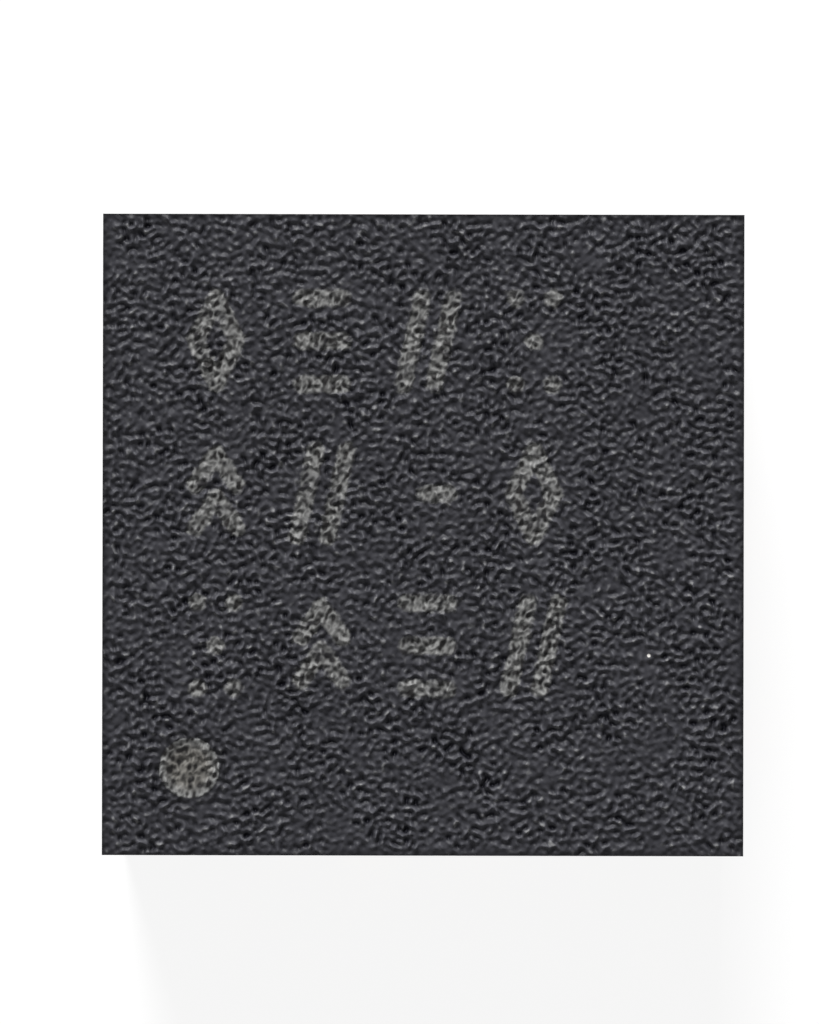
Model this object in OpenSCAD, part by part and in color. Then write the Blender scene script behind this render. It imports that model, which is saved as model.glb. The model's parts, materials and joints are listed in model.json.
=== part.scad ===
// Flat no-lead voltage regulator: a copper lead frame, a silicon die and its bond wires,
// moulded into a square block of black epoxy. Millimetres, seen from above with lead 1 at
// the lower left. The origin is the centre of the footprint, on the board.

/* [Package] */
// Length of the moulded body, left to right
body_l = 3.00; // [2.9:0.1:4]
// Width of the moulded body, front to back
body_w = 3.00; // [2.9:0.1:4]
// Height of the top face above the board
body_h = 0.90; // [0.8:0.05:1.2]
// Height of the body's underside above the board
standoff = 0.02; // [0.01:0.005:0.05]
// Diameter of the dot that marks lead 1
dot_d = 0.28; // [0.2:0.02:0.4]
// Distance from the dot's centre to the two nearest body sides
dot_inset = 0.41; // [0.3:0.01:0.6]
// Depth of the dot
dot_depth = 0.015; // [0.01:0.005:0.05]

/* [Leads] */
// Leads on each of the left and right sides
side_leads = 5; // [3:1:5]
// Leads on each of the front and back sides
end_leads = 2; // [1:1:2]
// Distance between the centres of neighbouring leads
lead_pitch = 0.50; // [0.45:0.01:0.55]
// Width of a lead's solder land
land_w = 0.25; // [0.2:0.01:0.3]
// Length of a lead's solder land, from the body's side
land_l = 0.40; // [0.3:0.02:0.46]
// Radius of the inner corners of a land
land_r = 0.06; // [0.02:0.01:0.1]
// Thickness of the copper sheet that the frame is etched from
frame_t = 0.20; // [0.15:0.01:0.25]
// Thickness left where the frame is half etched from below
web_t = 0.10; // [0.06:0.01:0.12]
// Reach of the half-etched lips past the inner ends of the lands, and past the thermal pad
lip = 0.08; // [0.04:0.01:0.1]
// Reach of the half-etched lips past the flanks of the lands
flank_lip = 0.03; // [0.01:0.01:0.05]
// Distance from the body's side to the start of the flank lips
lip_setback = 0.14; // [0.08:0.01:0.2]

/* [Thermal pad] */
// Length of the exposed thermal pad, left to right
pad_l = 1.60; // [1.45:0.05:1.65]
// Width of the exposed thermal pad, front to back
pad_w = 1.60; // [1.45:0.05:1.65]
// Radius of the thermal pad's plain corners
pad_r = 0.08; // [0.03:0.01:0.15]
// Leg of the chamfer at the corner next to lead 1
pad_chamfer = 0.28; // [0.1:0.02:0.35]
// Width of the bars that tie the pad to the frame's outer strip
tie_w = 0.18; // [0.12:0.02:0.2]
// Distance from the pad's side to the middle of the nearest tie bar
tie_inset = 0.10; // [0.06:0.01:0.14]

/* [Die] */
// Length of the silicon die, left to right
die_l = 1.24; // [1.0:0.04:1.36]
// Width of the silicon die, front to back
die_w = 1.16; // [1.0:0.04:1.32]
// Thickness of the silicon die
die_t = 0.20; // [0.12:0.01:0.25]
// Thickness of the glue under the die
glue_t = 0.025; // [0.015:0.005:0.04]
// Reach of the glue past the die's sides
glue_rim = 0.05; // [0.02:0.01:0.07]
// Height that the glue climbs up the die's sides
glue_climb = 0.06; // [0.03:0.01:0.09]

/* [Bond wires] */
// Diameter of the wire
wire_d = 0.044; // [0.03:0.002:0.05]
// Diameter of the ball that is pressed on to the die
ball_d = 0.096; // [0.07:0.002:0.11]
// Height of that ball
ball_h = 0.030; // [0.02:0.002:0.04]
// Height of the top of the loop above the die
loop_h = 0.17; // [0.16:0.01:0.22]
// Radius of the bend at the top of the loop, at the wire's centre
loop_r = 0.07; // [0.05:0.005:0.08]
// Radius of the bend that brings the wire down to the lead
foot_r = 0.10; // [0.06:0.01:0.14]
// Length of the stitch that is flattened on to the lead
stitch_l = 0.07; // [0.05:0.005:0.1]
// Thickness of the stitch at its tail
stitch_t = 0.012; // [0.008:0.002:0.02]
// Width of the stitch at its tail
stitch_w = 0.075; // [0.06:0.005:0.09]
// Distance from the body's side to the tail of the stitch
stitch_inset = 0.22; // [0.18:0.01:0.26]
// Distance between neighbouring balls along an edge of the die
ball_pitch = 0.21; // [0.16:0.01:0.24]
// Distance from the die's edge to the centres of the balls
ball_inset = 0.085; // [0.07:0.005:0.12]

/* [Hidden] */
$fn = 48;

// Sides are counted anticlockwise from the front: 0 front, 1 right, 2 back, 3 left.
side_counts = [end_leads, side_leads, end_leads, side_leads];
side_starts = [0, end_leads, end_leads + side_leads, 2 * end_leads + side_leads];
lead_count = 2 * (end_leads + side_leads);
lead_w = land_w + 2 * flank_lip;
lead_l = land_l + lip;
die_top = frame_t + glue_t + die_t;

// The wire's cross-section is an octagon with a flat underneath, and its bends have steps.
wire_sides = 8;
flat_turn = 180 / wire_sides;
loop_steps = 6;
foot_steps = 3;

// The ball bulges between its foot and its shoulder, whose radii are shares of its own.
ball_foot = 0.88;
ball_shoulder = 0.8;

function numbered(stem, i) = str(stem, i < 9 ? "_0" : "_", i + 1);
LEADS = [for (i = [0 : lead_count - 1]) numbered("lead", i)];
WIRES = [for (i = [0 : lead_count - 1]) numbered("bond_wire", i)];

// Which side lead i is on, and its place along that side, counted from the middle
function side_of(i) = max([for (s = [0 : 3]) if (i >= side_starts[s]) s]);
function slot_of(i) = i - side_starts[side_of(i)] - (side_counts[side_of(i)] - 1) / 2;

// Distance from the centre of a rectangle, l by w, to its side that lead i is on
function to_side(i, l, w) = (side_of(i) % 2 == 0 ? w : l) / 2;

// Turns a child drawn at the front of the body round to the side that lead i is on.
module on_side(i) {
    rotate([0, 0, 90 * side_of(i)]) children();
}

module epoxy_body() {
    color("#39393e")
    difference() {
        translate([-body_l / 2, -body_w / 2, standoff])
            cube([body_l, body_w, body_h - standoff]);
        translate([dot_inset - body_l / 2, dot_inset - body_w / 2, body_h - dot_depth])
            cylinder(d = dot_d, h = 2 * dot_depth);
        thermal_pad();
        die_glue();
        silicon_die();
        for (i = [0 : lead_count - 1]) {
            lead(i);
            bond_wire(i);
        }
    }
}

// A rectangle centred on the origin, its corners rounded to radius r
module rounded_plate(l, w, r) {
    square([l - 2 * r, w], center = true);
    square([l, w - 2 * r], center = true);
    for (x = [-1, 1], y = [-1, 1])
        translate([x * (l / 2 - r), y * (w / 2 - r)]) circle(r);
}

// The same rectangle with the corner next to lead 1 cut off
module pad_outline(l, w, r, chamfer) {
    difference() {
        rounded_plate(l, w, r);
        translate([-l / 2, -w / 2]) rotate(45)
            square([chamfer * sqrt(2), chamfer * sqrt(2)], center = true);
    }
}

// Full thickness where it is exposed, with a half-etched lip all round and four tie bars
module thermal_pad() {
    tie_x = pad_l / 2 - tie_inset;
    color("#b87350") {
        linear_extrude(frame_t) pad_outline(pad_l, pad_w, pad_r, pad_chamfer);
        translate([0, 0, frame_t - web_t]) linear_extrude(web_t) {
            pad_outline(pad_l + 2 * lip, pad_w + 2 * lip, pad_r + lip, pad_chamfer + lip);
            for (x = [-tie_x, tie_x])
                translate([x, 0]) square([tie_w, body_w], center = true);
        }
    }
}

// A tongue from the body's side inwards, its inner corners rounded to radius r
module tongue(w, l, r) {
    translate([-w / 2, 0]) square([w, l - r]);
    translate([r - w / 2, 0]) square([w - 2 * r, l]);
    for (x = [-1, 1])
        translate([x * (w / 2 - r), l - r]) circle(r);
}

// The exposed land at full thickness, under a wider half-etched tongue that locks in the epoxy
module lead(i) {
    color("#b87350")
    on_side(i)
    translate([slot_of(i) * lead_pitch, -to_side(i, body_l, body_w), 0]) {
        linear_extrude(frame_t) tongue(land_w, land_l, land_r);
        translate([0, lip_setback, frame_t - web_t]) linear_extrude(web_t)
            tongue(lead_w, lead_l - lip_setback, land_r);
    }
}

module silicon_die() {
    color("#5c6a78")
    translate([-die_l / 2, -die_w / 2, frame_t + glue_t]) cube([die_l, die_w, die_t]);
}

// A block that narrows evenly from its base to its top
module frustum(base_l, base_w, top_l, top_w, h) {
    ring = [[-1, -1], [1, -1], [1, 1], [-1, 1]];
    polyhedron(
        points = concat(
            [for (c = ring) [c.x * base_l / 2, c.y * base_w / 2, 0]],
            [for (c = ring) [c.x * top_l / 2, c.y * top_w / 2, h]]),
        faces = [[0, 1, 2, 3], [7, 6, 5, 4],
            [1, 0, 4, 5], [2, 1, 5, 6], [3, 2, 6, 7], [0, 3, 7, 4]]);
}

// A thin bed under the die, with a fillet that climbs its sides
module die_glue() {
    color("#c9c9c4")
    difference() {
        translate([0, 0, frame_t])
            frustum(die_l + 2 * glue_rim, die_w + 2 * glue_rim, die_l, die_w, glue_t + glue_climb);
        silicon_die();
    }
}

// How steeply the straight run of a wire falls between its two bends, whose centres are
// d_out and d_up apart and whose radii add up to both_r
function fall_of_run(d_out, d_up, both_r) =
    atan2(-d_up, d_out) + asin(both_r / norm([d_out, d_up]));

// The centre line of a wire is an upright neck, a bend over the top, a straight run and a bend
// on to the lead. Each station is [distance out, height above the die, angle at which the line
// climbs there, half width, half thickness].
function wire_stations(span, drop) =
    let (r = wire_d / 2,
        b = ball_d / 2,
        top = [loop_r, loop_h - r - loop_r],
        foot = [span - stitch_l, foot_r + r - drop],
        fall = fall_of_run(foot.x - top.x, foot.y - top.y, loop_r + foot_r))
    concat(
        [[0, 0, 90, ball_foot * b, ball_foot * b],
            [0, ball_h / 4, 90, b, b],
            [0, ball_h * 3 / 4, 90, b, b],
            [0, ball_h, 90, ball_shoulder * b, ball_shoulder * b],
            [0, ball_h + r / 2, 90, r, r]],
        [for (k = [0 : loop_steps]) let (a = 90 - k * (90 + fall) / loop_steps)
            [top.x - loop_r * sin(a), top.y + loop_r * cos(a), a, r, r]],
        [for (k = [0 : foot_steps]) let (a = fall * (k / foot_steps - 1))
            [foot.x + foot_r * sin(a), foot.y - foot_r * cos(a), a, r, r]],
        [[span - stitch_l / 2, stitch_t - drop, 0, stitch_w / 2, stitch_t],
            [span, stitch_t / 2 - drop, 0, stitch_w / 2, stitch_t / 2]]);

// One ring of the section at a station, square to the centre line there
function wire_ring(s) = [for (k = [0 : wire_sides - 1])
    let (a = flat_turn + k * 2 * flat_turn - 90,
        side = s[3] * cos(a) / cos(flat_turn),
        rise = s[4] * sin(a) / cos(flat_turn))
    [s[0] - rise * sin(s[2]), side, s[1] + rise * cos(s[2])]];

module swept(rings) {
    n = len(rings[0]);
    last = len(rings) - 1;
    polyhedron(
        points = [for (ring = rings) each ring],
        faces = concat(
            [[for (k = [0 : n - 1]) k]],
            [for (j = [0 : last - 1], k = [0 : n - 1]) let (m = (k + 1) % n)
                each [[j * n + k, (j + 1) * n + k, (j + 1) * n + m],
                    [j * n + k, (j + 1) * n + m, j * n + m]]],
            [[for (k = [n - 1 : -1 : 0]) last * n + k]]));
}

// A ball on the die, a loop, and a stitch on the lead's top face
module bond_wire(i) {
    from = [slot_of(i) * ball_pitch, ball_inset - to_side(i, die_l, die_w)];
    to = [slot_of(i) * lead_pitch, stitch_inset - to_side(i, body_l, body_w)];
    way = to - from;
    color("#d3a184")
    on_side(i)
    translate([from.x, from.y, die_top]) rotate([0, 0, atan2(way.y, way.x)])
        swept([for (s = wire_stations(norm(way), die_top - frame_t)) wire_ring(s)]);
}

epoxy_body();
thermal_pad();
die_glue();
silicon_die();
for (i = [0 : lead_count - 1]) {
    lead(i);
    bond_wire(i);
}
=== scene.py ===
import json
import math

import bpy
import numpy as np
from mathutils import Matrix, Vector

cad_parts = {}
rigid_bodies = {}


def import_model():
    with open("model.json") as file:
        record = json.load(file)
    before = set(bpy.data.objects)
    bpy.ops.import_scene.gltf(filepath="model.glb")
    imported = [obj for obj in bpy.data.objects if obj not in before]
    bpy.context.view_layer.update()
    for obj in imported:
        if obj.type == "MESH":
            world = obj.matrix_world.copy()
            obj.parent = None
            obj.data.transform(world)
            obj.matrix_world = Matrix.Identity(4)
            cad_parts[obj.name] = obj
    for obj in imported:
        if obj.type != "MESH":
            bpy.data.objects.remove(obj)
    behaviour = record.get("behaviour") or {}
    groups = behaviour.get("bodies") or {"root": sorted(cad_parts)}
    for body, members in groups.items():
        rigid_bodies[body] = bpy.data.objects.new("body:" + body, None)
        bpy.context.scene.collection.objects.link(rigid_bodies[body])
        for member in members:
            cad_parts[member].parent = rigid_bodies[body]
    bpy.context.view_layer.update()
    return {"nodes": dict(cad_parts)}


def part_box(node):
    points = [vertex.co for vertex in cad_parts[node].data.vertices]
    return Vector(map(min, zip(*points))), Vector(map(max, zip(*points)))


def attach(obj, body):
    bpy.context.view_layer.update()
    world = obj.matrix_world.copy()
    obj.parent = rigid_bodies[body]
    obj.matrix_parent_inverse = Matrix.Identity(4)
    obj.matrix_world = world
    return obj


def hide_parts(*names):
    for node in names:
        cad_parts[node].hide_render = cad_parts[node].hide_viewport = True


mm = 0.001
hair = 0.001 * mm                  # lengths closer than this count as the same
noiseLow, noiseHigh = 0.3, 0.7     # where most of a noise's values lie

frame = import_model()
nodes = frame["nodes"]
bodyLow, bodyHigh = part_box("epoxy_body")
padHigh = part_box("thermal_pad")[1]
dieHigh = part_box("silicon_die")[1]
print("frame loaded,", len(nodes), "nodes")


# Camera, straight above the top face

shot = {
    "lens": 100.0,                 # mm
    "sensor": 36.0,                # mm, along the height of the picture
    "frameSize": (819, 1024),      # px
    "pxPerMm": 214.3,              # on the top face
    "chipCentre": (423.2, 535.0),  # px
    "roll": 0.12,                  # degrees, clockwise
    "clip": (0.1 * mm, 10.0),
}


def makeCamera(s):
    data = bpy.data.cameras.new("camera")
    data.lens = s["lens"]
    data.sensor_width = s["sensor"]
    wide, tall = s["frameSize"]
    distance = tall / s["pxPerMm"] * mm * data.lens / data.sensor_width
    data.clip_start, data.clip_end = s["clip"]
    camera = bpy.data.objects.new("camera", data)
    offsetX = (s["chipCentre"][0] - wide / 2) / s["pxPerMm"] * mm
    offsetY = (s["chipCentre"][1] - tall / 2) / s["pxPerMm"] * mm
    camera.location = (-offsetX, offsetY, bodyHigh.z + distance)
    camera.rotation_euler = (0.0, 0.0, math.radians(s["roll"]))
    bpy.context.scene.collection.objects.link(camera)
    bpy.context.scene.camera = camera


makeCamera(shot)
print("camera placed")


# Node helpers: in inputs, a value fills a socket and a socket is linked to it

def put(tree, kind, inputs=None, **settings):
    node = tree.nodes.new(kind)
    for name, value in settings.items():
        setattr(node, name, value)
    for key, value in (inputs or {}).items():
        if isinstance(value, bpy.types.NodeSocket):
            tree.links.new(value, node.inputs[key])
        else:
            node.inputs[key].default_value = value
    return node


def calc(tree, operation, a, b=0.0, c=0.0):
    return put(tree, "ShaderNodeMath", {0: a, 1: b, 2: c}, operation=operation).outputs[0]


def vectorCalc(tree, operation, a, b=(0.0, 0.0, 0.0)):
    node = put(tree, "ShaderNodeVectorMath", {0: a, 1: b}, operation=operation)
    return node.outputs["Value" if operation in ("DISTANCE", "DOT_PRODUCT") else "Vector"]


def scaled(tree, vector, factor):
    node = put(tree, "ShaderNodeVectorMath", {0: vector, "Scale": factor}, operation="SCALE")
    return node.outputs["Vector"]


def shrunk(tree, vector, period):  # a place counted in periods
    return scaled(tree, vector, calc(tree, "DIVIDE", 1.0, period))


def flattened(tree, vector):  # without its height
    return vectorCalc(tree, "MULTIPLY", vector, (1.0, 1.0, 0.0))


def part(tree, vector, axis):
    return put(tree, "ShaderNodeSeparateXYZ", {0: vector}).outputs[axis]


def ramp(tree, value, low, high, toLow=0.0, toHigh=1.0, smooth=False):
    node = put(tree, "ShaderNodeMapRange", {
        "Value": value, "From Min": low, "From Max": high, "To Min": toLow, "To Max": toHigh},
        interpolation_type="SMOOTHSTEP" if smooth else "LINEAR")
    return node.outputs["Result"]


def noise(tree, vector, detail=0.0, roughness=0.5):
    node = put(tree, "ShaderNodeTexNoise", {
        "Vector": vector, "Scale": 1.0, "Detail": detail, "Roughness": roughness})
    return node.outputs[0]


def mixColour(tree, factor, a, b):
    return put(tree, "ShaderNodeMix", {0: factor, 6: a, 7: b}, data_type="RGBA").outputs[2]


def mixValue(tree, factor, a, b):
    return put(tree, "ShaderNodeMix", {0: factor, 2: a, 3: b}, data_type="FLOAT").outputs[0]


def most(tree, *values):
    highest = values[0]
    for value in values[1:]:
        highest = calc(tree, "MAXIMUM", highest, value)
    return highest


def newGroup(name, kind, inputs, outputs):
    tree = bpy.data.node_groups.new(name, kind)
    for label, socketType, value in inputs:
        socket = tree.interface.new_socket(label, in_out="INPUT", socket_type=socketType)
        if value is not None:
            socket.default_value = value
    for label, socketType in outputs:
        tree.interface.new_socket(label, in_out="OUTPUT", socket_type=socketType)
    return tree, tree.nodes.new("NodeGroupInput").outputs, tree.nodes.new("NodeGroupOutput").inputs


def useGroup(tree, group, **inputs):
    return put(tree, "ShaderNodeGroup", inputs, node_tree=group).outputs[0]


# The relief that the mesh and the finish of the top face share

relief = {
    "period": 0.0270 * mm,    # of the uneven part of the grain
    "wave": 0.0495 * mm,      # of its wormy part, which is nearly regular
    "wormShare": 0.47,
    "swing": 0.13,            # how far the mixed field usually strays from a half
    "calm": 1.2,              # above 1 flattens the middle heights between pits and crests
    "patchSize": 0.24 * mm,   # of calmer and livelier patches
    "patchSwing": 0.42,
    "turn": (0.6, 0.4, 0.9),  # radians, which takes the grain off the noise's own grid
    "seed": 4.0,
    "edgeBand": 0.055 * mm,   # the grain is quieter this close to the sides
    "edgeShare": 0.35,        # what is left of it at the very edge
    "baredShare": 0.60,       # and what is left of it in the marks and the dot
}


def topRelief(tree, place, r):  # around 0.5 on the ground, less in pits, more on crests
    flat = flattened(tree, place)
    worms = put(tree, "ShaderNodeTexGabor", {
        "Vector": shrunk(tree, flat, r["wave"]), "Scale": 1.0, "Frequency": 1.0, "Anisotropy": 0.0},
        gabor_type="2D").outputs["Value"]
    turned = put(tree, "ShaderNodeVectorRotate", {
        "Vector": shrunk(tree, flat, r["period"]), "Rotation": r["turn"]},
        rotation_type="EULER_XYZ").outputs[0]
    shifted = vectorCalc(tree, "ADD", turned, put(tree, "ShaderNodeCombineXYZ", {"Z": r["seed"]}).outputs[0])
    three = put(tree, "ShaderNodeTexNoise", {"Vector": shifted, "Scale": 1.0, "Detail": 0.0}).outputs[1]
    even = vectorCalc(tree, "DOT_PRODUCT", three, (1 / 3, 1 / 3, 1 / 3))  # their mean
    mixed = mixValue(tree, r["wormShare"], even, worms)
    signed = calc(tree, "DIVIDE", calc(tree, "SUBTRACT", mixed, 0.5), r["swing"])
    patch = noise(tree, shrunk(tree, flat, r["patchSize"]), detail=1.0)
    patch = ramp(tree, patch, noiseLow, noiseHigh, 1.0 - r["patchSwing"], 1.0 + r["patchSwing"])
    signed = calc(tree, "MULTIPLY", signed, patch)
    bent = calc(tree, "POWER", calc(tree, "ABSOLUTE", signed), r["calm"])
    bent = calc(tree, "MULTIPLY", bent, calc(tree, "SIGN", signed))
    return calc(tree, "MULTIPLY_ADD", bent, r["swing"], 0.5)


def fromEdge(tree, place):  # how far inside the outline a place lies
    size = vectorCalc(tree, "ABSOLUTE", place)
    return calc(tree, "SUBTRACT", bodyHigh.x, most(tree, part(tree, size, 0), part(tree, size, 1)))


# Effects that several finishes share

def makeMottle():  # slow change of tone, around 1
    tree, given, out = newGroup("mottle", "ShaderNodeTree", [
        ("Vector", "NodeSocketVector", None),
        ("Size", "NodeSocketFloat", 0.1 * mm),
        ("Contrast", "NodeSocketFloat", 0.2)], [("Tone", "NodeSocketFloat")])
    reach = 0.25  # how far from a half such a noise usually strays
    field = noise(tree, shrunk(tree, given["Vector"], given["Size"]), detail=2.0)
    swing = calc(tree, "DIVIDE", calc(tree, "SUBTRACT", field, 0.5), reach)
    tree.links.new(calc(tree, "MULTIPLY_ADD", swing, given["Contrast"], 1.0), out["Tone"])
    return tree


def makeSawLines():  # the fine scratches that a dicing blade leaves along the sides
    tree, given, out = newGroup("sawLines", "ShaderNodeTree", [
        ("Vector", "NodeSocketVector", None),
        ("Spacing", "NodeSocketFloat", 0.01 * mm),
        ("Length", "NodeSocketFloat", 1.0 * mm)], [("Height", "NodeSocketFloat")])
    along = calc(tree, "DIVIDE", 1.0, given["Length"])
    across = calc(tree, "DIVIDE", 1.0, given["Spacing"])
    stretch = put(tree, "ShaderNodeCombineXYZ", {"X": along, "Y": along, "Z": across}).outputs[0]
    place = vectorCalc(tree, "MULTIPLY", given["Vector"], stretch)
    tree.links.new(noise(tree, place, detail=3.0, roughness=0.65), out["Height"])
    return tree


def makeSpecks():  # scattered round spots of many sizes, 1 at their middles
    tree, given, out = newGroup("specks", "ShaderNodeTree", [
        ("Vector", "NodeSocketVector", None),
        ("Spacing", "NodeSocketFloat", 0.05 * mm),
        ("Size", "NodeSocketFloat", 0.4)], [("Mask", "NodeSocketFloat")])
    bias = 2.0  # above 1, so that there are more small spots than large ones
    core = 0.7  # of the radius, inside which a spot is full
    cell = put(tree, "ShaderNodeTexVoronoi", {
        "Vector": shrunk(tree, given["Vector"], given["Spacing"]), "Scale": 1.0}, feature="F1")
    draw = part(tree, cell.outputs["Color"], 0)
    radius = calc(tree, "MULTIPLY", calc(tree, "POWER", draw, bias), given["Size"])
    mask = ramp(tree, calc(tree, "DIVIDE", cell.outputs["Distance"], radius), 1.0, core)
    tree.links.new(mask, out["Mask"])
    return tree


mottle = makeMottle()
sawLines = makeSawLines()
specks = makeSpecks()


def newMaterial(name):
    material = bpy.data.materials.new(name)
    material.use_nodes = True
    tree = material.node_tree
    place = put(tree, "ShaderNodeTexCoord").outputs["Object"]
    return material, tree, tree.nodes["Principled BSDF"], place


def finish(tree, shader, colour, roughness, height):  # height in metres
    bump = put(tree, "ShaderNodeBump", {"Strength": 1.0, "Distance": 1.0, "Height": height}).outputs[0]
    for name, value in (("Base Color", colour), ("Roughness", roughness), ("Normal", bump)):
        if isinstance(value, bpy.types.NodeSocket):
            tree.links.new(value, shader.inputs[name])
        else:
            shader.inputs[name].default_value = value


def upTilt(tree):  # 1 on faces that look straight up, 0 on upright ones, -1 on undersides
    return part(tree, put(tree, "ShaderNodeNewGeometry").outputs["True Normal"], 2)


# Moulding compound

epoxy = {
    "facing": 0.3,                                  # the up tilt that makes a face part of the top
    # the pits' dark colour is partly the compound's own and partly painted shade, where light can't reach
    # into them
    "pitColourAndShade": (0.0038, 0.0038, 0.0062, 1.0),
    "crestColour": (0.0545, 0.0545, 0.0625, 1.0),
    "grainTones": (0.34, 0.60),                     # heights of the relief with these two colours
    "calmColour": (0.030, 0.030, 0.035, 1.0),       # where the grain is quiet
    "borderBand": 0.035 * mm,                       # painted shade darkens the top this close to the sides,
    "paintedBorderShade": 0.30,                             # down to this at the very edge
    "glintColour": (0.14, 0.14, 0.145, 1.0),        # painted glints: bright bits on some crests
    "glintSize": 0.034 * mm,
    "glintLevel": (0.63, 0.73),                     # their noise has to rise above this
    "glintCrest": (0.48, 0.60),                     # and the relief above this
    "strandColour": (0.192, 0.192, 0.189, 1.0),     # where the laser or the dot's pin has bared the filler
    "pinholeColour": (0.018, 0.017, 0.017, 1.0),    # between the strands
    "dotColour": (0.152, 0.146, 0.135, 1.0),        # in the middle of the dot
    "dotRimColour": (0.215, 0.218, 0.218, 1.0),
    "strandSize": (0.038 * mm, 0.056 * mm, 1.0),    # across and along
    "strandLean": 24.0,                             # degrees
    "strandReach": (0.165, 0.01),                   # in the noise's own heights, at a strand's rim and core
    "wanderSize": 0.022 * mm,                       # of the ragged outlines
    "strokeWander": 0.032 * mm,
    "dotWander": 0.016 * mm,
    "strokeFade": (0.004 * mm, 0.012 * mm),         # outside and inside a mark's outline
    "dotFade": 0.004 * mm,
    "wornSize": 0.10 * mm,                          # of the marks' fainter stretches
    "wornLevel": (0.34, 0.52),
    "wornTone": 0.65,
    "fleckCentre": (1.055 * mm, -0.561 * mm, 0.0),  # one pale fleck on the top face
    "fleckRadius": (0.010 * mm, 0.006 * mm),        # of its soft edge, outside and inside
    "fleckColour": (0.62, 0.60, 0.57, 1.0),
    "sawnColour": (0.024, 0.024, 0.027, 1.0),
    "fillerColour": (0.060, 0.059, 0.057, 1.0),     # cut grains of silica in the sawn sides
    "coarseFiller": {"Spacing": 0.045 * mm, "Size": 0.35},
    "fineFiller": {"Spacing": 0.014 * mm, "Size": 0.5},
    "fineShare": 0.5,
    "underColour": (0.021, 0.020, 0.024, 1.0),
    "clouds": {"Size": 0.12 * mm, "Contrast": 0.10},
    "roughness": (0.45, 0.55),
    "roughSize": 0.03 * mm,
    "specular": 0.10,
    "grainHeight": 0.060 * mm,                      # of the relief that the finish adds to the mesh's own
    "strandHeight": 0.0015 * mm,
    "sawLines": {"Spacing": 0.012 * mm, "Length": 1.6 * mm},
    "sawHeight": 0.004 * mm,
    "fillerHeight": 0.001 * mm,
    "skinSize": 0.02 * mm,                          # of the underside's faint unevenness
    "skinHeight": 0.0012 * mm,
}
dot = {
    "inset": 0.41 * mm,
    "radius": 0.14 * mm,
    "depth": 0.015 * mm,
    "wall": 0.10 * mm,
    "rim": 0.06 * mm,              # the paler band inside its edge
    "moat": 0.05 * mm,             # the darker band outside
    "moatTone": 0.45,
}
dotCentre = (bodyLow.x + dot["inset"], bodyLow.y + dot["inset"], 0.0)
strokeWidth = 0.089 * mm


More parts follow.
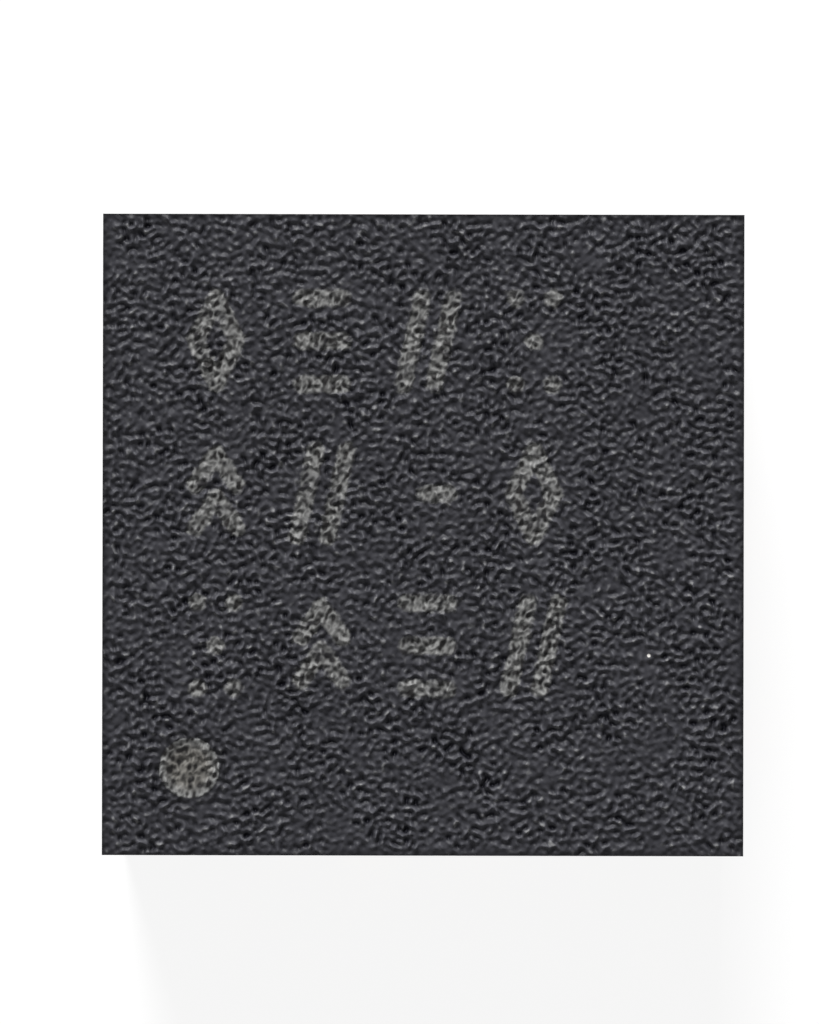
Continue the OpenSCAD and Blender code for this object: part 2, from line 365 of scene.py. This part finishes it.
def makeEpoxy(e):
    material, tree, shader, place = newMaterial("mouldingCompound")
    up = upTilt(tree)
    isTop = calc(tree, "GREATER_THAN", up, e["facing"])
    isUnder = calc(tree, "LESS_THAN", up, -e["facing"])
    flat = flattened(tree, place)

    # the grain, fading out beside the sides
    grain = topRelief(tree, place, relief)
    inside = fromEdge(tree, place)
    lively = ramp(tree, inside, 0.0, relief["edgeBand"], relief["edgeShare"], 1.0)
    # pits darker than crests: partly the compound's own tone, partly painted shade in the pits
    grained = mixColour(tree, ramp(tree, grain, *e["grainTones"]), e["pitColourAndShade"], e["crestColour"])
    grained = mixColour(tree, lively, e["calmColour"], grained)
    # painted shade darkens the top along its outline
    grained = scaled(tree, grained, ramp(tree, inside, 0.0, e["borderBand"], e["paintedBorderShade"], 1.0))
    # painted glints on some crests
    glint = ramp(tree, noise(tree, shrunk(tree, flat, e["glintSize"])), *e["glintLevel"])
    glint = calc(tree, "MULTIPLY", glint, lively)
    glint = calc(tree, "MULTIPLY", glint, ramp(tree, grain, *e["glintCrest"]))
    grained = mixColour(tree, glint, grained, e["glintColour"])

    # marks and dot, with wandering edges
    wander = noise(tree, shrunk(tree, place, e["wanderSize"]), detail=2.0)
    wander = calc(tree, "SUBTRACT", wander, 0.5)
    stroke = put(tree, "ShaderNodeAttribute", attribute_name="strokeDistance").outputs["Fac"]
    stroke = calc(tree, "MULTIPLY_ADD", wander, e["strokeWander"], stroke)
    outer, inner = e["strokeFade"]
    inStroke = ramp(tree, stroke, strokeWidth / 2 + outer, strokeWidth / 2 - inner)
    worn = noise(tree, shrunk(tree, place, e["wornSize"]), detail=2.0)
    worn = ramp(tree, worn, *e["wornLevel"], e["wornTone"], 1.0)
    fromDot = vectorCalc(tree, "DISTANCE", flat, dotCentre)
    fromDot = calc(tree, "MULTIPLY_ADD", wander, e["dotWander"], fromDot)
    dotEdge = calc(tree, "SUBTRACT", fromDot, dot["radius"])
    inDot = ramp(tree, dotEdge, e["dotFade"], -e["dotFade"])
    bared = most(tree, calc(tree, "MULTIPLY", inStroke, worn), inDot)
    dotColour = mixColour(tree, ramp(tree, dotEdge, -dot["rim"], 0.0), e["dotColour"], e["dotRimColour"])
    strandColour = mixColour(tree, inDot, e["strandColour"], dotColour)
    leaning = put(tree, "ShaderNodeVectorRotate", {
        "Vector": flat, "Angle": math.radians(e["strandLean"])}, rotation_type="Z_AXIS").outputs[0]
    level = noise(tree, vectorCalc(tree, "DIVIDE", leaning, e["strandSize"]), detail=1.0)
    strand = ramp(tree, calc(tree, "ABSOLUTE", calc(tree, "SUBTRACT", level, 0.5)), *e["strandReach"])
    baredColour = mixColour(tree, strand, e["pinholeColour"], strandColour)
    moat = ramp(tree, dotEdge, 0.0, dot["moat"], dot["moatTone"], 1.0)
    topColour = mixColour(tree, bared, scaled(tree, grained, moat), baredColour)
    inFleck = ramp(tree, vectorCalc(tree, "DISTANCE", flat, e["fleckCentre"]), *e["fleckRadius"])
    topColour = mixColour(tree, inFleck, topColour, e["fleckColour"])

    # the other faces
    coarse = useGroup(tree, specks, Vector=place, **e["coarseFiller"])
    fine = useGroup(tree, specks, Vector=place, **e["fineFiller"])
    filler = most(tree, coarse, calc(tree, "MULTIPLY", fine, e["fineShare"]))
    sideColour = mixColour(tree, filler, e["sawnColour"], e["fillerColour"])
    colour = mixColour(tree, isTop, sideColour, topColour)
    colour = mixColour(tree, isUnder, colour, e["underColour"])
    tone = useGroup(tree, mottle, Vector=place, **e["clouds"])

    # heights in metres: grain on top, saw lines round the sides, a faint skin below
    lively = calc(tree, "MULTIPLY", lively, ramp(tree, bared, 0.0, 1.0, 1.0, relief["baredShare"]))
    swing = calc(tree, "MULTIPLY", lively, e["grainHeight"])
    topHeight = calc(tree, "MULTIPLY", calc(tree, "SUBTRACT", grain, 0.5), swing)
    strand = calc(tree, "MULTIPLY", strand, bared)
    topHeight = calc(tree, "MULTIPLY_ADD", strand, e["strandHeight"], topHeight)
    lines = calc(tree, "MULTIPLY", useGroup(tree, sawLines, Vector=place, **e["sawLines"]), e["sawHeight"])
    sideHeight = calc(tree, "MULTIPLY_ADD", filler, e["fillerHeight"], lines)
    skin = noise(tree, shrunk(tree, place, e["skinSize"]), detail=2.0)
    underHeight = calc(tree, "MULTIPLY", skin, e["skinHeight"])
    height = mixValue(tree, isUnder, mixValue(tree, isTop, sideHeight, topHeight), underHeight)
    rough = noise(tree, shrunk(tree, place, e["roughSize"]), detail=1.0)
    rough = ramp(tree, rough, noiseLow, noiseHigh, *e["roughness"])
    finish(tree, shader, scaled(tree, colour, tone), rough, height)
    shader.inputs["Specular IOR Level"].default_value = e["specular"]
    return material


mouldingCompound = makeEpoxy(epoxy)
print("moulding compound made")


# The top face's marking: plain shapes, each a run of points in its cell, drawn with a round laser spot

marking = {
    "rows": [["lozenge", "rungs", "slashes", "dots"],
             ["chevrons", "slashes", "dash", "lozenge"],
             ["dots", "chevrons", "rungs", "slashes"]],
    "firstCell": (-0.968 * mm, 0.905 * mm),
    "columnPitch": 0.495 * mm,
    "rowPitch": 0.7115 * mm,
    "cell": (0.28 * mm, 0.49 * mm),
}
shapes = {
    "lozenge": [[(0.5, 0), (1, 0.5), (0.5, 1), (0, 0.5), (0.5, 0)]],
    "rungs": [[(0, level), (1, level)] for level in (0, 0.5, 1)],
    "slashes": [[(-0.1, 0), (0.35, 1)], [(0.65, 0), (1.1, 1)]],
    "dots": [[(u, v), (u + 0.01, v)] for u, v in ((0.05, 0), (0.95, 0), (0.5, 0.5), (0.05, 1), (0.95, 1))],
    "chevrons": [[(0, low), (0.5, low + 0.35), (1, low)] for low in (0.1, 0.6)],
    "dash": [[(0.45, 0.5), (1, 0.5)]],
}


def makeStrokes(m, z):
    points, edges = [], []
    inner = (m["cell"][0] - strokeWidth, m["cell"][1] - strokeWidth)
    for row, names in enumerate(m["rows"]):
        for column, name in enumerate(names):
            centreX = m["firstCell"][0] + column * m["columnPitch"]
            centreY = m["firstCell"][1] - row * m["rowPitch"]
            for run in shapes[name]:
                for k, (u, v) in enumerate(run):
                    if k:
                        edges.append((len(points) - 1, len(points)))
                    points.append((centreX + (u - 0.5) * inner[0], centreY + (v - 0.5) * inner[1], z))
    mesh = bpy.data.meshes.new("strokes")
    mesh.from_pydata(points, edges, [])
    strokes = bpy.data.objects.new("strokes", mesh)
    bpy.context.scene.collection.objects.link(strokes)
    return strokes


# Body: a block with a fine grid on top, sawn sides and a coarse underside

body = {
    "cells": 288,              # across the top
    "underCells": 24,          # across the underside, a divisor of cells
    "sideRows": 6,
    "rowCrowding": 1.7,        # above 1, so that the rows stand closer near the top
    "sawnBack": 0.002 * mm,    # the sawn compound stands this far behind the copper ends
    "grainDepth": 0.050 * mm,
    "edgeShare": 0.1,          # what is left of the grain at the very edge
    "crestLevel": 0.68,        # crests above this height of the relief are worn flat
    "smoothing": 1,            # rounds, so that the mesh's own cells don't show in the grain
    "markDepth": 0.002 * mm,
    "markWall": 0.03 * mm,
    "sawPeriod": 0.05 * mm,
    "sawDepth": 0.0012 * mm,
    "crispAngle": 62.0,        # degrees
    "weldReach": 1e-8,         # metres, between corners that are one in the plain solids
}


def gradedBlock(b):
    n, k = b["cells"], b["underCells"]
    step = n // k
    xs = np.linspace(bodyLow.x + b["sawnBack"], bodyHigh.x - b["sawnBack"], n + 1)
    ys = np.linspace(bodyLow.y + b["sawnBack"], bodyHigh.y - b["sawnBack"], n + 1)
    ring = ([(i, 0) for i in range(n)] + [(n, j) for j in range(n)]
            + [(n - i, n) for i in range(n)] + [(0, n - j) for j in range(n)])
    ringPlace = {cell: place for place, cell in enumerate(ring)}
    points = [(xs[i], ys[j], bodyHigh.z) for j in range(n + 1) for i in range(n + 1)]
    faces = []
    for j in range(n):
        for i in range(n):
            corner = j * (n + 1) + i
            faces.append((corner, corner + 1, corner + n + 2, corner + n + 1))
    above = [j * (n + 1) + i for i, j in ring]
    for row in range(1, b["sideRows"] + 1):
        share = (row / b["sideRows"]) ** b["rowCrowding"]
        z = bodyHigh.z + (bodyLow.z - bodyHigh.z) * share
        below = list(range(len(points), len(points) + len(ring)))
        points += [(xs[i], ys[j], z) for i, j in ring]
        for a in range(len(ring)):
            c = (a + 1) % len(ring)
            faces.append((above[a], below[a], below[c], above[c]))
        above = below
    inner = {}
    for j in range(step, n, step):
        for i in range(step, n, step):
            inner[i, j] = len(points)
            points.append((xs[i], ys[j], bodyLow.z))

    def along(start, end):  # the points of one edge of a coarse cell, without its end
        (i, j), (p, q) = start, end
        if i == p in (0, n) or j == q in (0, n):
            count = max(abs(p - i), abs(q - j))
            fine = [(i + (p - i) * t // count, j + (q - j) * t // count) for t in range(count)]
            return [above[ringPlace[f]] for f in fine]
        return [above[ringPlace[start]] if start in ringPlace else inner[start]]

    for j in range(0, n, step):
        for i in range(0, n, step):
            corners = [(i, j), (i, j + step), (i + step, j + step), (i + step, j)]
            faces.append([v for a in range(4) for v in along(corners[a], corners[(a + 1) % 4])])
    mesh = bpy.data.meshes.new("epoxyBody")
    mesh.from_pydata(points, [], faces)
    mesh.shade_smooth()
    block = bpy.data.objects.new("epoxyBody", mesh)
    bpy.context.scene.collection.objects.link(block)
    return block


def makeSkinTree():
    tree, given, out = newGroup("mouldedSkin", "GeometryNodeTree", [
        ("Geometry", "NodeSocketGeometry", None),
        ("Strokes", "NodeSocketObject", None),
        ("Top", "NodeSocketFloat", 1.0 * mm),
        ("Grain Period", "NodeSocketFloat", 0.05 * mm),
        ("Worm Period", "NodeSocketFloat", 0.05 * mm),
        ("Worm Share", "NodeSocketFloat", 0.5),
        ("Grain Depth", "NodeSocketFloat", 0.005 * mm),
        ("Crest Level", "NodeSocketFloat", 1.0),
        ("Smoothing", "NodeSocketInt", 1),
        ("Edge Band", "NodeSocketFloat", 0.04 * mm),
        ("Edge Share", "NodeSocketFloat", 0.1),
        ("Dot Centre", "NodeSocketVector", None),
        ("Dot Radius", "NodeSocketFloat", 0.1 * mm),
        ("Dot Depth", "NodeSocketFloat", 0.01 * mm),
        ("Dot Wall", "NodeSocketFloat", 0.02 * mm),
        ("Stroke Width", "NodeSocketFloat", 0.1 * mm),
        ("Mark Depth", "NodeSocketFloat", 0.004 * mm),
        ("Mark Wall", "NodeSocketFloat", 0.03 * mm),
        ("Saw Period", "NodeSocketFloat", 0.05 * mm),
        ("Saw Depth", "NodeSocketFloat", 0.001 * mm),
        ("Seed", "NodeSocketFloat", 0.0),
        ("Material", "NodeSocketMaterial", None)], [("Geometry", "NodeSocketGeometry")])
    place = put(tree, "GeometryNodeInputPosition").outputs[0]
    isTop = calc(tree, "GREATER_THAN", part(tree, place, 2), calc(tree, "SUBTRACT", given["Top"], hair))

    # how far each place lies from the marks, which the finish reads too
    strokes = put(tree, "GeometryNodeObjectInfo", {"Object": given["Strokes"]}).outputs["Geometry"]
    distance = put(tree, "GeometryNodeProximity", {0: strokes}, target_element="EDGES").outputs["Distance"]
    stored = put(tree, "GeometryNodeStoreNamedAttribute", {
        "Geometry": given["Geometry"], "Name": "strokeDistance", "Value": distance},
        data_type="FLOAT", domain="POINT")

    # everything that sinks the top face
    inside = fromEdge(tree, place)
    lively = ramp(tree, inside, 0.0, given["Edge Band"], given["Edge Share"], 1.0)
    grain = topRelief(tree, place, {**relief, "period": given["Grain Period"], "wave": given["Worm Period"],
                                    "wormShare": given["Worm Share"], "seed": given["Seed"]})
    ground = calc(tree, "SUBTRACT", given["Crest Level"], 0.5)
    pit = calc(tree, "MAXIMUM", calc(tree, "SUBTRACT", given["Crest Level"], grain), 0.0)
    pit = put(tree, "GeometryNodeBlurAttribute", {"Value": pit, "Iterations": given["Smoothing"]}).outputs[0]
    halfStroke = calc(tree, "MULTIPLY", given["Stroke Width"], 0.5)
    inStroke = ramp(tree, distance, halfStroke, calc(tree, "SUBTRACT", halfStroke, given["Mark Wall"]))
    fromDot = vectorCalc(tree, "DISTANCE", flattened(tree, place), given["Dot Centre"])
    dotFloor = calc(tree, "SUBTRACT", given["Dot Radius"], given["Dot Wall"])
    inDot = ramp(tree, fromDot, given["Dot Radius"], dotFloor)
    bared = most(tree, inStroke, inDot)
    lively = calc(tree, "MULTIPLY", lively, ramp(tree, bared, 0.0, 1.0, 1.0, relief["baredShare"]))
    drop = calc(tree, "MULTIPLY", mixValue(tree, lively, ground, pit), given["Grain Depth"])
    drop = calc(tree, "MULTIPLY_ADD", inStroke, given["Mark Depth"], drop)
    drop = calc(tree, "MULTIPLY_ADD", inDot, given["Dot Depth"], drop)
    down = put(tree, "ShaderNodeCombineXYZ", {"Z": calc(tree, "MULTIPLY", drop, -1.0)}).outputs[0]

    # the blade's slow waver, inwards only
    sawn = noise(tree, shrunk(tree, place, given["Saw Period"]), detail=2.0)
    outward = put(tree, "GeometryNodeInputNormal").outputs[0]
    depth = calc(tree, "MULTIPLY", sawn, given["Saw Depth"])
    inwards = flattened(tree, scaled(tree, outward, calc(tree, "MULTIPLY", depth, -1.0)))
    shift = vectorCalc(tree, "ADD", inwards, scaled(tree, down, isTop))
    shaped = put(tree, "GeometryNodeSetPosition", {"Geometry": stored.outputs[0], "Offset": shift})
    whole = put(tree, "GeometryNodeRealizeInstances", {0: shaped.outputs[0]}).outputs[0]
    final = put(tree, "GeometryNodeSetMaterial", {"Geometry": whole, "Material": given["Material"]})
    tree.links.new(final.outputs[0], out["Geometry"])
    return tree


def plainMesh(obj):  # keeps what the modifiers make, and takes them off
    graph = bpy.context.evaluated_depsgraph_get()
    graph.update()
    mesh = bpy.data.meshes.new_from_object(obj.evaluated_get(graph), preserve_all_data_layers=True,
                                           depsgraph=graph)
    obj.modifiers.clear()
    obj.data = mesh


def runTree(obj, tree, values):
    modifier = obj.modifiers.new("shape", "NODES")
    modifier.node_group = tree
    for item in tree.interface.items_tree:
        if item.item_type == "SOCKET" and item.in_out == "INPUT" and item.name in values:
            modifier[item.identifier] = values[item.name]
    plainMesh(obj)


def hollow(block, weldReach):  # takes out the room of every piece that the compound encloses
    held = bpy.data.collections.new("held")
    for name, node in nodes.items():
        if name == "epoxy_body":
            continue
        mesh = node.data.copy()
        if "custom_normal" in mesh.attributes:
            mesh.attributes.remove(mesh.attributes["custom_normal"])
        cutter = bpy.data.objects.new("cutter", mesh)
        bpy.context.scene.collection.objects.link(cutter)
        cutter.modifiers.new("weld", "WELD").merge_threshold = weldReach
        plainMesh(cutter)
        held.objects.link(cutter)
    cut = block.modifiers.new("cut", "BOOLEAN")
    cut.operation = "DIFFERENCE"
    cut.solver = "MANIFOLD"
    cut.operand_type = "COLLECTION"
    cut.collection = held
    plainMesh(block)
    for cutter in list(held.objects):
        bpy.data.objects.remove(cutter)
    bpy.data.collections.remove(held)


def shapeBody(b, material):
    strokes = makeStrokes(marking, bodyHigh.z)
    block = gradedBlock(b)
    runTree(block, makeSkinTree(), {
        "Strokes": strokes, "Top": bodyHigh.z, "Material": material, "Seed": relief["seed"],
        "Grain Period": relief["period"], "Worm Period": relief["wave"], "Worm Share": relief["wormShare"],
        "Grain Depth": b["grainDepth"], "Crest Level": b["crestLevel"], "Smoothing": b["smoothing"],
        "Edge Band": relief["edgeBand"], "Edge Share": b["edgeShare"],
        "Dot Centre": dotCentre, "Dot Radius": dot["radius"], "Dot Depth": dot["depth"],
        "Dot Wall": dot["wall"], "Stroke Width": strokeWidth, "Mark Depth": b["markDepth"],
        "Mark Wall": b["markWall"], "Saw Period": b["sawPeriod"], "Saw Depth": b["sawDepth"]})
    bpy.data.objects.remove(strokes)
    hollow(block, b["weldReach"])
    block.data.set_sharp_from_angle(angle=math.radians(b["crispAngle"]))
    return block


epoxyBody = shapeBody(body, mouldingCompound)
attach(epoxyBody, "root")
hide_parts("epoxy_body")
epoxyBody.data.calc_loop_triangles()
print("body made,", len(epoxyBody.data.loop_triangles), "triangles")


# Tinned copper of the leads and the pad, bare where the saw went through, silvered where wires land

copperFrame = {
    "tin": (0.30, 0.282, 0.256, 1.0),
    "copper": (0.44, 0.20, 0.12, 1.0),
    "oxide": (0.30, 0.12, 0.07, 1.0),    # the roughened copper that grips the compound
    "silver": (0.60, 0.585, 0.555, 1.0),
    "facing": 0.5,                       # the up tilt that makes a face part of the top
    "tinTop": 0.0205 * mm,               # above this the copper isn't tinned
    "sawnBand": 0.0005 * mm,             # sawn faces lie this close to the outline
    "pitch": 0.50 * mm,
    "landSize": (0.25 * mm, 0.40 * mm),
    "padHalf": 0.80 * mm,
    "rimBand": (0.003 * mm, 0.012 * mm),  # the plating's rounded edge, with a painted highlight out to the first of these
    "rimHighlightTone": 1.30,
    "rimDrop": 0.004 * mm,
    "grains": {"Size": 0.026 * mm, "Contrast": 0.36},
    "clouds": {"Size": 0.15 * mm, "Contrast": 0.08},
    "pores": {"Spacing": 0.045 * mm, "Size": 0.30},
    "poreTone": 0.4,
    "sawLines": {"Spacing": 0.010 * mm, "Length": 0.8 * mm},
    "smearLevel": (0.35, 0.65),
    "smearTones": (0.72, 1.12),
    "lumpSize": 0.014 * mm,
    "lumpHeight": 0.003 * mm,
    "roughness": (0.55, 0.38),           # of the plating and of the sawn ends
}


def insideRows(tree, place, reach, pitch, size):  # how far inside the nearest land or bond pad a place lies
    away = vectorCalc(tree, "ABSOLUTE", place)
    sideways, lengthways = part(tree, away, 0), part(tree, away, 1)
    inTwos = calc(tree, "LESS_THAN", sideways, pitch)
    shifted = calc(tree, "SUBTRACT", sideways, pitch / 2)
    turns = calc(tree, "DIVIDE", mixValue(tree, inTwos, lengthways, shifted), pitch)
    off = calc(tree, "ABSOLUTE", calc(tree, "SUBTRACT", turns, calc(tree, "ROUND", turns)))
    flank = calc(tree, "SUBTRACT", size[0] / 2, calc(tree, "MULTIPLY", off, pitch))
    outer = calc(tree, "SUBTRACT", reach, mixValue(tree, inTwos, sideways, lengthways))
    inner = calc(tree, "SUBTRACT", size[1], outer)
    return calc(tree, "MINIMUM", flank, calc(tree, "MINIMUM", outer, inner))


def makeFrameMetal(c):
    material, tree, shader, place = newMaterial("tinnedCopper")
    up = upTilt(tree)
    upright = calc(tree, "LESS_THAN", calc(tree, "ABSOLUTE", up), c["facing"])
    atSide = calc(tree, "LESS_THAN", fromEdge(tree, place), c["sawnBand"])
    isSawn = calc(tree, "MULTIPLY", upright, atSide)
    isTin = calc(tree, "LESS_THAN", part(tree, place, 2), c["tinTop"])
    isHigh = calc(tree, "GREATER_THAN", part(tree, place, 2), padHigh.z - hair)
    isSilver = calc(tree, "MULTIPLY", isHigh, calc(tree, "GREATER_THAN", up, c["facing"]))
    colour = mixColour(tree, isSilver, c["oxide"], c["silver"])
    colour = mixColour(tree, isTin, colour, c["tin"])
    colour = mixColour(tree, isSawn, colour, c["copper"])
    grains = useGroup(tree, mottle, Vector=place, **c["grains"])
    clouds = useGroup(tree, mottle, Vector=place, **c["clouds"])
    pores = ramp(tree, useGroup(tree, specks, Vector=place, **c["pores"]), 0.0, 1.0, 1.0, c["poreTone"])
    pitted = calc(tree, "MULTIPLY", calc(tree, "MULTIPLY", grains, clouds), pores)
    land = insideRows(tree, place, bodyHigh.x, c["pitch"], c["landSize"])
    away = vectorCalc(tree, "ABSOLUTE", place)
    inPad = calc(tree, "SUBTRACT", c["padHalf"], most(tree, part(tree, away, 0), part(tree, away, 1)))
    edge = most(tree, land, inPad)
    # painted highlight along the plating's rounded edges
    paintedRimLight = ramp(tree, edge, *c["rimBand"], c["rimHighlightTone"], 1.0)
    lines = useGroup(tree, sawLines, Vector=place, **c["sawLines"])
    smeared = ramp(tree, lines, *c["smearLevel"], *c["smearTones"])
    plated = calc(tree, "MULTIPLY", pitted, mixValue(tree, isTin, 1.0, paintedRimLight))
    tone = mixValue(tree, isSawn, plated, smeared)
    lumps = noise(tree, shrunk(tree, place, c["lumpSize"]), detail=2.0)
    height = calc(tree, "MULTIPLY", mixValue(tree, isSawn, lumps, lines), c["lumpHeight"])
    dome = ramp(tree, edge, 0.0, c["rimBand"][1], smooth=True)
    height = calc(tree, "MULTIPLY_ADD", calc(tree, "MULTIPLY", dome, isTin), c["rimDrop"], height)
    finish(tree, shader, scaled(tree, colour, tone), mixValue(tree, isSawn, *c["roughness"]), height)
    shader.inputs["Metallic"].default_value = 1.0
    return material


silverGlue = {
    "resin": (0.30, 0.29, 0.28, 1.0),
    "flake": (0.62, 0.61, 0.58, 1.0),
    "flakes": {"Spacing": 0.006 * mm, "Size": 0.7},
    "clouds": {"Size": 0.08 * mm, "Contrast": 0.12},
    "roughness": (0.65, 0.4),            # of the resin and of the flakes
    "metallic": (0.3, 1.0),
    "lumpSize": 0.01 * mm,
    "lumpHeight": 0.003 * mm,
}


def makeSilverGlue(g):
    material, tree, shader, place = newMaterial("silverGlue")
    flakes = useGroup(tree, specks, Vector=place, **g["flakes"])
    tone = useGroup(tree, mottle, Vector=place, **g["clouds"])
    colour = mixColour(tree, flakes, g["resin"], g["flake"])
    lumps = noise(tree, shrunk(tree, place, g["lumpSize"]), detail=2.0)
    height = calc(tree, "MULTIPLY", lumps, g["lumpHeight"])
    finish(tree, shader, scaled(tree, colour, tone), ramp(tree, flakes, 0.0, 1.0, *g["roughness"]), height)
    tree.links.new(ramp(tree, flakes, 0.0, 1.0, *g["metallic"]), shader.inputs["Metallic"])
    return material


circuit = {
    "silicon": (0.17, 0.17, 0.19, 1.0),
    "field": (0.10, 0.13, 0.16, 1.0),
    "track": (0.46, 0.40, 0.33, 1.0),
    "bondPad": (0.66, 0.65, 0.63, 1.0),
    "padPitch": 0.21 * mm,
    "padSize": (0.09 * mm, 0.09 * mm),
    "padInset": 0.03 * mm,               # from the die's edge
    "facing": 0.5,                       # the up tilt that makes a face part of the top
    "blockSize": 0.20 * mm,
    "blockShape": {"Brick Width": 1.3, "Row Height": 0.7, "Mortar Size": 0.03},
    "trackPitch": 0.016 * mm,
    "trackEdge": (0.15, 0.30),           # in pitches from the middle between two tracks
    "trackTones": (0.25, 0.9),           # of the faintest and of the strongest block
    "clouds": {"Size": 0.05 * mm, "Contrast": 0.06},
    "sawLines": {"Spacing": 0.006 * mm, "Length": 0.8 * mm},
    "height": 0.001 * mm,                # of the tracks and of the saw lines
    "roughness": (0.45, 0.22),           # of the sawn sides and of the face
    "metallic": 0.7,
}


def makeSilicon(c):
    material, tree, shader, place = newMaterial("silicon")
    isFace = calc(tree, "GREATER_THAN", upTilt(tree), c["facing"])
    brick = put(tree, "ShaderNodeTexBrick", {
        "Vector": shrunk(tree, flattened(tree, place), c["blockSize"]), "Scale": 1.0, **c["blockShape"],
        "Color1": (0.0, 0.0, 0.0, 1.0), "Color2": (1.0, 1.0, 1.0, 1.0)},
        offset=0.35, squash=1.6, squash_frequency=3).outputs
    block, street = part(tree, brick["Color"], 0), brick["Fac"]
    isStrong = calc(tree, "GREATER_THAN", block, 0.5)
    along = mixValue(tree, isStrong, part(tree, place, 0), part(tree, place, 1))
    turns = calc(tree, "FRACT", calc(tree, "DIVIDE", along, c["trackPitch"]))
    tracks = ramp(tree, calc(tree, "ABSOLUTE", calc(tree, "SUBTRACT", turns, 0.5)), *c["trackEdge"])
    drawn = calc(tree, "MULTIPLY", tracks, ramp(tree, block, 0.0, 1.0, *c["trackTones"]))
    surface = mixColour(tree, drawn, c["field"], c["track"])
    surface = mixColour(tree, street, surface, c["silicon"])
    inPad = insideRows(tree, place, dieHigh.x - c["padInset"], c["padPitch"], c["padSize"])
    surface = mixColour(tree, calc(tree, "GREATER_THAN", inPad, 0.0), surface, c["bondPad"])
    tone = useGroup(tree, mottle, Vector=place, **c["clouds"])
    colour = scaled(tree, mixColour(tree, isFace, c["silicon"], surface), tone)
    lines = useGroup(tree, sawLines, Vector=place, **c["sawLines"])
    height = calc(tree, "MULTIPLY", mixValue(tree, isFace, lines, tracks), c["height"])
    finish(tree, shader, colour, mixValue(tree, isFace, *c["roughness"]), height)
    shader.inputs["Metallic"].default_value = c["metallic"]
    return material


wire = {
    "copper": (0.66, 0.34, 0.21),
    "clouds": {"Size": 0.02 * mm, "Contrast": 0.08},
    "drawnSize": 0.006 * mm,             # of the marks of drawing it
    "drawnHeight": 0.0006 * mm,
    "roughness": 0.28,
}


def makeWireMetal(w):
    material, tree, shader, place = newMaterial("bondWire")
    colour = scaled(tree, w["copper"], useGroup(tree, mottle, Vector=place, **w["clouds"]))
    drawn = noise(tree, shrunk(tree, place, w["drawnSize"]), detail=1.0)
    height = calc(tree, "MULTIPLY", drawn, w["drawnHeight"])
    finish(tree, shader, colour, w["roughness"], height)
    shader.inputs["Metallic"].default_value = 1.0
    return material


def dress(names, material):
    for name in names:
        for slot in nodes[name].material_slots:
            slot.material = material


dress([n for n in nodes if n.startswith("lead_") or n == "thermal_pad"], makeFrameMetal(copperFrame))
dress(["die_glue"], makeSilverGlue(silverGlue))
dress(["silicon_die"], makeSilicon(circuit))
dress([n for n in nodes if n.startswith("bond_wire_")], makeWireMetal(wire))
print("inner pieces dressed")


# Lights, floor and background

studio = {
    "world": 0.15,
    # azimuth is counted clockwise from the top of the picture
    "key": {"azimuth": -8.0, "elevation": 21.0, "strength": 6.8, "angle": 20.0},
    "fill": {"azimuth": 200.0, "elevation": 25.0, "strength": 0.6, "angle": 60.0},
    "under": {"azimuth": 40.0, "elevation": -50.0, "strength": 1.6, "angle": 60.0},
    "floorSize": 0.5,
    "floorDrop": 0.02 * mm,              # below the compound, level with the lands
    "floorColour": (0.18, 0.18, 0.18, 1.0),
    "floorRoughness": 0.9,
    "floorGlow": 0.88,
}


def makeSun(name, s):
    data = bpy.data.lights.new(name, "SUN")
    data.energy = s["strength"]
    data.angle = math.radians(s["angle"])
    lamp = bpy.data.objects.new(name, data)
    a, e = math.radians(s["azimuth"]), math.radians(s["elevation"])
    towards = Vector((math.sin(a) * math.cos(e), math.cos(a) * math.cos(e), math.sin(e)))
    lamp.rotation_mode = "QUATERNION"
    lamp.rotation_quaternion = towards.to_track_quat("Z", "Y")
    bpy.context.scene.collection.objects.link(lamp)


def makeWorld(s):
    world = bpy.data.worlds.new("studio")
    bpy.context.scene.world = world
    world.use_nodes = True
    tree = world.node_tree
    rays = put(tree, "ShaderNodeLightPath").outputs
    seen = most(tree, rays["Is Camera Ray"], rays["Is Glossy Ray"], rays["Is Transmission Ray"])
    background = tree.nodes["Background"]
    tree.links.new(mixValue(tree, seen, s["world"], 1.0), background.inputs["Strength"])
    background.inputs["Color"].default_value = (1.0, 1.0, 1.0, 1.0)


def makeFloor(s):
    half = s["floorSize"] / 2
    z = bodyLow.z - s["floorDrop"]
    corners = [(-half, -half, z), (half, -half, z), (half, half, z), (-half, half, z)]
    mesh = bpy.data.meshes.new("floor")
    mesh.from_pydata(corners, [], [(0, 1, 2, 3)])
    floor = bpy.data.objects.new("floor", mesh)
    bpy.context.scene.collection.objects.link(floor)
    material, tree, shader, _ = newMaterial("floorPaper")
    shader.inputs["Base Color"].default_value = s["floorColour"]
    shader.inputs["Roughness"].default_value = s["floorRoughness"]
    shader.inputs["Specular IOR Level"].default_value = 0.0
    shader.inputs["Emission Color"].default_value = (1.0, 1.0, 1.0, 1.0)
    shader.inputs["Emission Strength"].default_value = s["floorGlow"]
    behind = put(tree, "ShaderNodeNewGeometry").outputs["Backfacing"]
    clear = put(tree, "ShaderNodeBsdfTransparent")
    oneSided = put(tree, "ShaderNodeMixShader", {0: behind, 1: shader.outputs[0], 2: clear.outputs[0]})
    tree.links.new(oneSided.outputs[0], tree.nodes["Material Output"].inputs["Surface"])
    mesh.materials.append(material)
    floor.visible_diffuse = False
    floor.visible_glossy = False
    floor.visible_transmission = False
    floor.visible_shadow = False


makeWorld(studio)
for name in ("key", "fill", "under"):
    makeSun(name, studio[name])
makeFloor(studio)
print("studio lit")

view = bpy.context.scene.view_settings
view.view_transform = "Standard"
